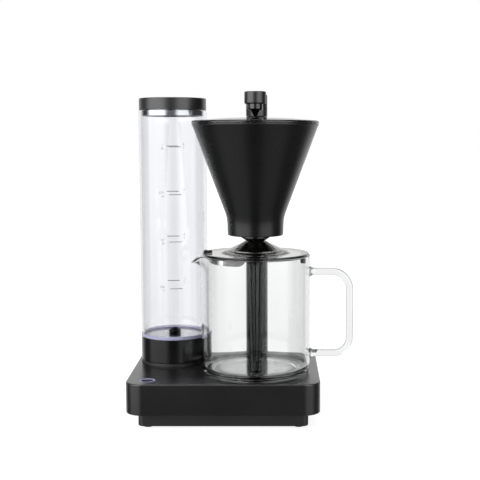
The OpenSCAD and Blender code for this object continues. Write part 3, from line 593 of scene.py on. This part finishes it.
def water_tank():
    """Clear tube with its floor and nipple, the milky joint to its black foot, and the valve on the floor."""
    r, rim, floor = tank.radius, tank.high, tank_foot.high + 1.5
    spigot = TANK_BORE + 0.5
    outline = rounded([
        (6, floor - 13), (7.5, floor - 13), (7.5, tank.low), (9, tank.low, 0.5), (9, floor - 1.8, 0.5),
        (TANK_BORE - 0.5, floor - 1.8, 2), (TANK_BORE + 1, floor + 2.6), (r, floor + 2.6, 0.3), (r, rim, 1.4),
        (TANK_BORE, rim, 1.4), (TANK_BORE, floor, 3), (6, floor, 0.6)])
    stand_in("tank_tube", lathe(divided(outline, 24), tank))
    joint = rounded([(9.1, floor - 3.5), (spigot, floor - 3.5, 0.6), (spigot, tank_foot.high),
                     (r, tank_foot.high, 0.35), (r, floor + 2.5, 0.3), (TANK_BORE + 1.05, floor + 2.5),
                     (TANK_BORE - 0.45, floor - 1.9, 2), (9.1, floor - 1.9)])
    skin("tank_joint", lathe(joint, tank), "tank_tube", finish="tank_milk")
    r, low, high = tank_foot.radius, tank_foot.low, tank_foot.high
    stand_in("tank_base", lathe(rounded([
        (9.1, low + 3), (r - 2.5, low + 3, 0.6), (r - 2.5, low, 0.3), (r, low, 0.9), (r, high, 0.45),
        (spigot + 0.05, high), (spigot + 0.05, low + 5), (9.1, low + 5)]), tank_foot), finish="foot_black")
    top = valve.high
    stand_in("valve_head", lathe(rounded([
        (0, top), (2.2, top, 0.8), (7.8, top - 4, 0.5), (7.6, top - 4.8, 0.3), (5, top - 5.2, 0.3),
        (5, top - 5.9, 0.3), (7.2, top - 6.3, 0.2), (7, top - 7, 0.2), (4.4, top - 7), (2, top - 7),
        (2, valve.low + 2.4), (4.4, valve.low + 2.4), (4.4, valve.low + 1.2), (2, valve.low + 1.2),
        (2, valve.low, 0.4), (0, valve.low)]), tank_foot, segments=96))


def tank_cover():
    """Lid with a soft edge over the bright plug that goes into the tube."""
    r, low, high = cover.radius, cover.low, cover.high
    p = plug.radius
    stand_in("tank_lid", lathe(rounded([
        (0, low + 3), (p - 2.5, low + 3), (p - 2.5, low), (p + 0.8, low), (p + 0.8, low + 0.8),
        (r - 0.6, low + 0.8), (r - 0.6, low), (r, low, 0.3), (r, high, 1.3), (r - 3, high, 1),
        (0, high)]), cover))
    stand_in("tank_lid_plug", lathe(rounded([
        (p - 2.4, plug.high), (p - 2.4, plug.low + 2, 1), (p - 4, plug.low, 0.4), (p, plug.low, 0.9),
        (p, plug.high)]), plug))


def wrapped(bm, name):
    """Printing laid round the front of the tank: x runs along the wall, y is the height, z the thickness."""
    face = tank.radius + 0.01
    for v in bm.verts:
        angle = v.co.x / face - math.pi / 2
        r = face + v.co.z
        v.co = (tank.x + r * math.cos(angle), tank.y + r * math.sin(angle), v.co.y)
    return skin(name, bm, "tank_tube", finish="scale_ink")


def scale_line(x0, x1, height, thickness):
    bm = bmesh.new()
    cuts = 8
    half, relief = thickness / 2, 0.05
    rows = [[bm.verts.new((x0 + (x1 - x0) * k / cuts, height + dy, dz)) for k in range(cuts + 1)]
            for dy, dz in ((-half, 0), (half, 0), (half, relief), (-half, relief))]
    for a, b in zip(rows, rows[1:] + rows[:1]):
        for k in range(cuts):
            bm.faces.new((a[k], a[k + 1], b[k + 1], b[k]))
    for end in (0, -1):
        bm.faces.new([row[end] for row in rows])
    return bm


def scale_number(text, x, height, size, align):
    curve = bpy.data.curves.new("number", "FONT")
    curve.body = text
    curve.size = size
    curve.extrude = 0.025
    curve.align_x = align
    curve.align_y = "CENTER"
    obj = bpy.data.objects.new("number", curve)
    mesh = bpy.data.meshes.new_from_object(obj)
    bm = bmesh.new()
    bm.from_mesh(mesh)
    bmesh.ops.translate(bm, vec=(x, height, 0.025), verts=bm.verts)
    bpy.data.objects.remove(obj)
    bpy.data.meshes.remove(mesh)
    bpy.data.curves.remove(curve)
    return bm


def merged(shapes):
    """Several shapes in one, side by side."""
    result = bmesh.new()
    for bm in shapes:
        mesh = bpy.data.meshes.new("shape")
        bm.to_mesh(mesh)
        bm.free()
        result.from_mesh(mesh)
        bpy.data.meshes.remove(mesh)
    return result


def tank_scale():
    """Water marks, a line each: litres over a dose on the left, cups over a smaller number on the right."""
    foot = tank_foot.high
    litre_step, cup_step = 56, 53
    lines, numbers = [], []
    for i, (litres, dose) in enumerate((("0.25", "15"), ("0.5", "30"), ("0.75", "45"), ("1", "60"))):
        height = foot + 62.6 + litre_step * i
        lines.append(scale_line(-1.2, 13.7, height, 0.75))
        numbers += [scale_number(litres, -7.5, height + 2.1, 3.4, "RIGHT"),
                    scale_number(dose, -7.5, height - 2.1, 3.0, "RIGHT")]
    for i, cups in enumerate(("2", "4", "6", "8")):
        height = foot + 72.6 + cup_step * i
        lines.append(scale_line(-3.6, 10.2, height, 0.9))
        numbers += [scale_number(cups, 16, height + 2.0, 3.0, "LEFT"),
                    scale_number(str(2 * i + 3), 16, height - 2.0, 2.6, "LEFT")]
    wrapped(merged(lines), "tank_scale_lines")
    wrapped(merged(numbers), "tank_scale_numbers")


# ---- filter holder ----

def filter_holder():
    """Cone with a collar, and the shoe that slides over the bracket."""
    low, rim, r = funnel.low, funnel.high, filter_lid.radius - 0.5
    wall, neck = 2.2, 13.2
    cone_top, cone_high = r - 0.8, rim - 2.2
    outline = rounded([(30, low, 0.7), (32.2, low, 1.1), (32.9, low + 20.5, 36), (cone_top, cone_high),
                       (r, rim - 1.4, 0.6), (r, rim, 0.7), (r - wall, rim, 0.5),
                       (cone_top - wall, cone_high), (33.5, low + 29, 6), (neck, low + 14.5, 1),
                       (neck, low + 2), (neck + 2, low + 2), (neck + 2, low + 12.5, 1),
                       (30, low + 19.6, 1.5), (30.2, low + 12)])
    shoe_z = (bracket.low + bracket.high) / 2
    body = lathe(divided(outline, 8), filter_lid)
    shoe = block((funnel.x - 12, funnel.x + 12), (filter_lid.y + 30.6, funnel.back),
                 (shoe_z - 7, shoe_z + 7), 1.6)
    slot = block((funnel.x - 7.3, funnel.x + 7.3), (filter_lid.y + 34, funnel.back + 15),
                 (shoe_z - 3.3, shoe_z + 3.3), 0.5)
    stand_in("filter_funnel", combined(combined(body, shoe), slot, operation="DIFFERENCE"))


def drip_stop():
    """Spring-loaded outlet under the holder."""
    low, collar = drip.low, funnel.low
    r = drip.radius
    stand_in("drip_housing", lathe(rounded([
        (7, low, 0.3), (10, low, 0.6), (r, collar - 3, 0.8), (r, collar, 0.4), (13.15, collar),
        (13.15, drip.high, 0.4), (3.06, drip.high), (3.06, drip.high - 3), (7, drip.high - 3)]), drip))


def filter_cover():
    """Smoky domed lid with a short collar for the spout."""
    r, edge = filter_lid.radius, funnel.high + 0.3
    inner = r - 4.7
    top, low = filter_lid.high, filter_lid.low
    outline = rounded([
        (inner - 2, edge - 4, 0.4), (inner, edge - 4, 0.4), (inner, edge), (r, edge, 0.5),
        (r, edge + 3.2, 2.2), (45, edge + 6, 60), (16, top, 1), (15.3, top, 0.5), (11, top, 0.6),
        (11, low, 0.6), (12.6, low, 0.4), (13.3, edge + 5, 1), (45, edge + 4, 60),
        (inner - 2, edge + 1.6, 1)])
    stand_in("filter_lid", lathe(divided(outline, 6), filter_lid))


# ---- jug ----

def pouring_lip(angle, depth):
    """Shares of the lip's full reach and droop at an angle from +X and a depth under the rim."""
    half_width, fade = math.radians(30), 27
    off = abs(math.remainder(angle - math.pi, 2 * math.pi))
    if off >= half_width or depth >= fade:
        return 0, 0
    across = math.cos(math.pi / 2 * off / half_width) ** 2
    down = (1 - max(depth, 0) / fade) ** 3
    return across * down, across ** 2 * down


def jug_glass():
    """Blown glass with a domed floor, a thick rounded heel and a drawn pouring lip."""
    low, rim = jug.low, JUG_RIM
    reach = plate.x - jug.left - JUG_RADIUS - 0.3
    droop = 10

    def shape(radius, height, angle):
        if radius < JUG_BORE - 1:
            return radius, height
        out, fall = pouring_lip(angle, rim - height)
        return radius + reach * out, height - droop * fall

    outline = rounded([
        (0, low + 2.5), (43.5, low + 2.4, 3), (47.5, low, 1.5), (JUG_RADIUS, low, 5.5),
        (JUG_RADIUS, rim, 1.15), (JUG_BORE, rim, 1.15), (JUG_BORE, low + 4.6, 5.5), (0, low + 4.7)], step=10)
    stand_in("jug_glass", lathe(divided(outline, 3), plate, segments=192, shape=shape))


def jug_handle():
    """Bent glass rod, flared where it is fused to the jug."""
    rod, flare = 4.2, 2.4
    reach = handle.right - rod
    start = plate.x + JUG_RADIUS - 0.5
    top, low = handle.high - rod - flare, handle.low + rod + flare
    path = divided(rounded([(start, top), (reach, top, 21), (reach, low, 18), (start, low)],
                           closed=False, step=6), 3, closed=False)
    bm = bmesh.new()
    loops = []
    sides = 32
    for i, here in enumerate(path):
        along = (path[min(i + 1, len(path) - 1)] - path[max(i - 1, 0)]).normalized()
        across = Vector((-along.y, along.x))
        r = rod + flare * math.exp(-((here.x - start) / 2.6) ** 2)
        loop = []
        for k in range(sides):
            angle = 2 * math.pi * k / sides
            flat = here + across * r * math.cos(angle)
            loop.append(bm.verts.new((flat.x, handle.y + r * math.sin(angle), flat.y)))
        loops.append(loop)
    for a, b in zip(loops, loops[1:]):
        bridge(bm, a, b)
    bm.faces.new(loops[0])
    bm.faces.new(loops[-1])
    stand_in("jug_handle", bm)


def lid_skirt():
    """Smoky wall under the lid beside the lip, its ends swept up in a curve."""
    bm = bmesh.new()
    start, sweep, drop = math.radians(200), math.radians(60), 8.2
    outer, inner, top = JUG_BORE - 2.9, JUG_BORE - 4.6, LID_LOW + 0.2
    steps = 48
    loops = []
    for k in range(steps + 1):
        share = k / steps
        near = min(share / 0.38, (1 - share) / 0.16, 1)
        fall = max(drop * math.sqrt(1 - (1 - near) ** 2), 0.3)
        angle = start + sweep * share
        section = [(inner, top), (outer, top), (outer, top - fall + 0.4), (outer - 0.4, top - fall),
                   (inner + 0.4, top - fall), (inner, top - fall + 0.4)]
        loops.append([bm.verts.new((plate.x + r * math.cos(angle), plate.y + r * math.sin(angle), z))
                      for r, z in section])
    for a, b in zip(loops, loops[1:]):
        bridge(bm, a, b)
    bm.faces.new(loops[0])
    bm.faces.new(loops[-1])
    return bm


def jug_cover():
    """Clear disc and outer cone in a dark rim, with a thumb rest and the skirt that strains the pour."""
    low = LID_LOW
    top = low + LID_TOP
    r, inner = 61.8, JUG_BORE - 0.8
    seam = inner - 1.6
    disc = lathe(divided(rounded([
        (22.4, low), (seam, low), (seam, top), (39.9, top, 3), (13.2, jug_lid.high, 0.4),
        (11.6, jug_lid.high, 0.4), (37.6, top - 0.3, 2), (22.4, top - 0.3)]), 8), plate)
    stand_in("jug_lid", disc, finish="lid_smoke")
    rim = lathe(rounded([
        (seam + 0.02, low - 2.4, 0.3), (inner, low - 2.4, 0.3), (inner, low, 0.2), (r, low, 0.3),
        (r, top, 0.6), (seam + 0.02, top)]), plate)
    skin("jug_lid_rim", rim, "jug_lid", finish="smoke_clear")
    skin("jug_lid_skirt", lid_skirt(), "jug_lid", finish="skirt_smoke")
    left = jug_lid.left + 1.5
    rest = block((left, left + 10), (plate.y - 4, plate.y + 4), (top - 0.6, top + 3), 0.9)
    ridge = block((left + 4.5, left + 5.7), (plate.y - 4.2, plate.y + 4.2), (top + 2, top + 3.6), 0.5)
    skin("jug_lid_rest", combined(rest, ridge, operation="DIFFERENCE"), "jug_lid", finish="gloss_black")


def lid_inner_cone():
    """Black cone that gathers the drips, above the fluted mixing tube."""
    low, high = cone.low, cone.high
    seat = low + 5
    stand_in("lid_cone", lathe(rounded([
        (5, low), (9.1, low), (9.1, seat - 0.6), (cone.radius, seat - 0.6, 0.5),
        (cone.radius, seat + 1, 0.4), (10.5, high, 0.5), (8.2, high, 0.5), (5, high - 3.3, 1)]), plate),
             finish="cone_black")


def mixing_tube():
    """Tube with hollow flutes that takes the fresh coffee down into the jug, open at both ends."""
    low, high = mixer.low, mixer.high
    top_r, end_r, flutes = mixer.radius, 5.6, 8
    bore, flute_depth = end_r - 2.3, 0.2

    def shape(radius, height, angle):
        near_end = min((height - low) / 4, (high - 3 - height) / 4, 1)
        depth = flute_depth * max(near_end, 0) if radius > end_r - 0.6 else 0
        return radius * (1 - depth * abs(math.cos(flutes / 2 * angle))), height

    outline = rounded([(bore, low, 0.3), (end_r, low, 1.2), (top_r, high - 2.5, 1), (top_r, high, 0.3),
                       (top_r - 1.5, high, 0.3), (top_r - 1.5, high - 2.8, 0.3), (bore, high - 8, 1),
                       (bore, low + 12)])
    stand_in("mixing_tube", lathe(divided(outline, 5), plate, segments=160, shape=shape), finish="tube_black")


def lid_catch():
    """Hollow catch that hooks under the rim."""
    body = block((catch.left, catch.right), (catch.front, catch.back), (catch.low, catch.high), 0.7)
    hollow = block((catch.left + 1.5, catch.right + 5), (catch.front + 1.6, catch.back - 1.6),
                   (catch.low + 1.5, catch.low + 6.5), 0.5)
    stand_in("lid_catch", combined(body, hollow, operation="DIFFERENCE"), finish="gloss_black")


# ---- studio ----

# Brightness of the room, by direction, and the least that shows straight through a clear piece
BACK, SIDES, LOW_FRONT, FRONT, CLEAR = 0.93, 0.07, 0.01, 0.3, 0.6
PANEL, PANEL_LOW = 2.7, 0.25                    # soft panels, above the table and below it
LEFT_PANEL = (-54, 34, 1.0)                     # azimuth from straight in front, half width, share
RIGHT_PANEL = (46, 27, 0.74)


def ramp(tree, value, start, end, low, high):
    """Smooth step from low to high as value goes from start to end; low and high may be sockets."""
    node = tree.nodes.new("ShaderNodeMapRange")
    node.interpolation_type = "SMOOTHSTEP"
    node.inputs["From Min"].default_value = start
    node.inputs["From Max"].default_value = end
    tree.links.new(value, node.inputs["Value"])
    for socket, end_value in (("To Min", low), ("To Max", high)):
        if isinstance(end_value, float):
            node.inputs[socket].default_value = end_value
        else:
            tree.links.new(end_value, node.inputs[socket])
    return node.outputs["Result"]


def maths(tree, operation, *inputs):
    node = tree.nodes.new("ShaderNodeMath")
    node.operation = operation
    for socket, value in zip(node.inputs, inputs):
        if isinstance(value, (int, float)):
            socket.default_value = value
        else:
            tree.links.new(value, socket)
    return node.outputs[0]


def panel(tree, azimuth, strength, place, half_width, share, edge=9):
    """Upright soft panel with faded sides."""
    off = maths(tree, "ABSOLUTE", maths(tree, "SUBTRACT", azimuth, math.radians(place)))
    start, end = math.radians(half_width - edge), math.radians(half_width + edge)
    return maths(tree, "MULTIPLY", ramp(tree, off, start, end, share, 0.0), strength)


def white_room():
    """Room that is white to look at. For light and reflections it has a white back wall, dark sides, and two
    upright soft panels in front. Straight through a clear piece it is never darker than CLEAR."""
    world = bpy.data.worlds.new("room")
    bpy.context.scene.world = world
    world.use_nodes = True
    tree = world.node_tree
    split = tree.nodes.new("ShaderNodeSeparateXYZ")
    tree.links.new(tree.nodes.new("ShaderNodeTexCoord").outputs["Generated"], split.inputs[0])
    x, y, z = split.outputs
    front = ramp(tree, z, -0.12, 0.1, LOW_FRONT, FRONT)
    sides = ramp(tree, y, -0.95, -0.5, front, SIDES)
    room = ramp(tree, y, 0.4, 0.85, sides, BACK)
    azimuth = maths(tree, "ARCTAN2", x, maths(tree, "MULTIPLY", y, -1))
    strength = ramp(tree, z, -0.37, 0.15, PANEL_LOW, PANEL)
    for place in (LEFT_PANEL, RIGHT_PANEL):
        room = maths(tree, "ADD", room, panel(tree, azimuth, strength, *place))
    path = tree.nodes.new("ShaderNodeLightPath").outputs
    bounces = maths(tree, "ADD", path["Glossy Depth"], path["Diffuse Depth"])
    straight = maths(tree, "LESS_THAN", bounces, 0.5)
    room = maths(tree, "MAXIMUM", room, maths(tree, "MULTIPLY", straight, CLEAR))
    seen = path["Is Camera Ray"]
    background = tree.nodes["Background"]
    lighting = maths(tree, "MULTIPLY", room, maths(tree, "SUBTRACT", 1.0, seen))
    tree.links.new(maths(tree, "MAXIMUM", seen, lighting), background.inputs["Strength"])
    background.inputs["Color"].default_value = (1, 1, 1, 1)


def floor():
    """White ground with a trace of shadow. Glass and gloss see the room through it."""
    finish = Finish("floor", (0.3, 0.3, 0.3), 0.9)
    finish.vary_colour(finish.noise(400, 2), 0.01)
    finish.set("Emission Color", (1, 1, 1, 1))
    finish.set("Emission Strength", 0.85)
    bm = bmesh.new()
    bmesh.ops.create_grid(bm, x_segments=1, y_segments=1, size=12)
    mesh = bpy.data.meshes.new("floor")
    bm.to_mesh(mesh)
    bm.free()
    obj = bpy.data.objects.new("floor", mesh)
    obj.visible_glossy = obj.visible_transmission = obj.visible_shadow = False
    bpy.context.collection.objects.link(obj)
    mesh.materials.append(finish.material)


def top_light():
    """Soft light from above, hidden from the camera and from reflections."""
    data = bpy.data.lights.new("top_light", "AREA")
    data.shape = "RECTANGLE"
    data.size = data.size_y = 1.2
    data.energy = 6.5
    obj = bpy.data.objects.new("top_light", data)
    obj.location = (0, 0.1, 1.7)
    obj.visible_camera = obj.visible_glossy = False
    bpy.context.collection.objects.link(obj)


def camera():
    """Long lens a metre in front and below the object's top, tilted down by 6 degrees, with the film shifted
    to frame it off centre."""
    data = bpy.data.cameras.new("camera")
    data.lens = 73.5
    data.shift_x = -0.0726
    data.shift_y = 0.003
    obj = bpy.data.objects.new("camera", data)
    obj.location = (0.03847, -1.15038, 0.3251)
    obj.rotation_euler = (math.radians(90 - 5.958), 0, 0)
    bpy.context.collection.objects.link(obj)
    bpy.context.scene.camera = obj


def studio():
    white_room()
    floor()
    camera()
    top_light()
    bpy.context.scene.view_settings.view_transform = "Standard"


# ---- the whole ----

OWN_FINISH = {"pan_screws": "screw_black"}      # nodes that aren't finished as the rest of their slot

for node, obj in frame["nodes"].items():
    for material_slot in obj.material_slots:
        material_slot.material = FINISHES[OWN_FINISH.get(node, SLOT_OF[node])]

base_shell()
bottom_pan()
warming_plate()
power_button()
spring("button_spring", 5, 0.4)
spring("valve_spring", 4, 0.35)
spring("drip_spring", 6, 0.4)
column()
spray_arm()
holder_bracket()
water_tank()
tank_cover()
tank_scale()
filter_holder()
drip_stop()
filter_cover()
jug_glass()
jug_handle()
jug_cover()
lid_inner_cone()
mixing_tube()
lid_catch()
studio()
